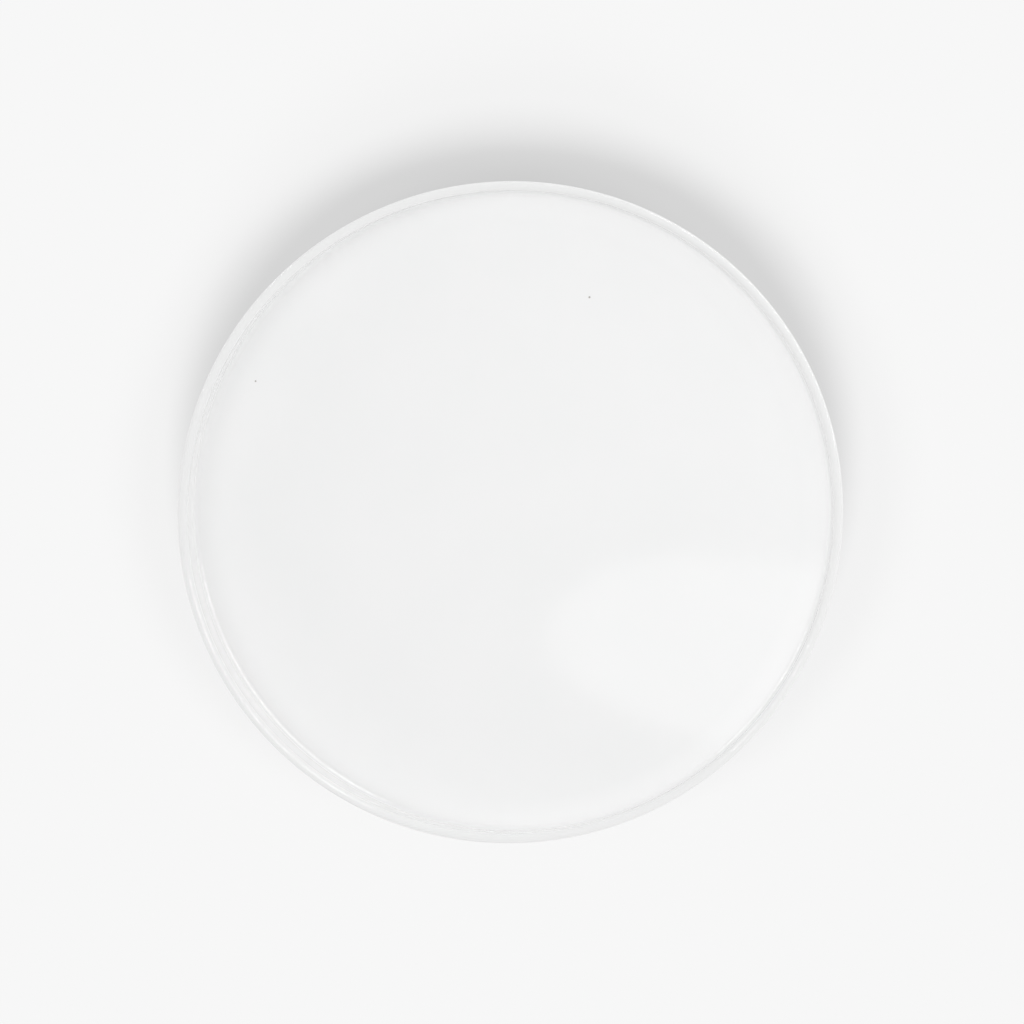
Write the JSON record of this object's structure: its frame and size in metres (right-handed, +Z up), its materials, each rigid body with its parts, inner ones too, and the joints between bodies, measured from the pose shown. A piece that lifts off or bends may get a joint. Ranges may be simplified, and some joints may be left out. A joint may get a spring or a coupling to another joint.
{
  "type": "evaporating dish",
  "caption": "Low round glazed porcelain dish with a flat floor, a near-upright wall, a thin rounded lip and a bare foot ring, for evaporating liquids.",
  "frame": {"origin": "centre of the standing face of the foot ring, on the dish's axis", "axes": "+Z up along the axis of revolution; +X and +Y are equal, because the dish is round"},
  "size_m": [0.15, 0.15, 0.018],
  "materials": {
    "biscuit_porcelain": "unglazed, matte",
    "white_glaze": "gloss"
  },
  "bodies": {
    "root": {"porcelain_body": "biscuit_porcelain", "glaze_coat": "white_glaze", "recess_glaze": "white_glaze"}
  },
  "joints": []
}
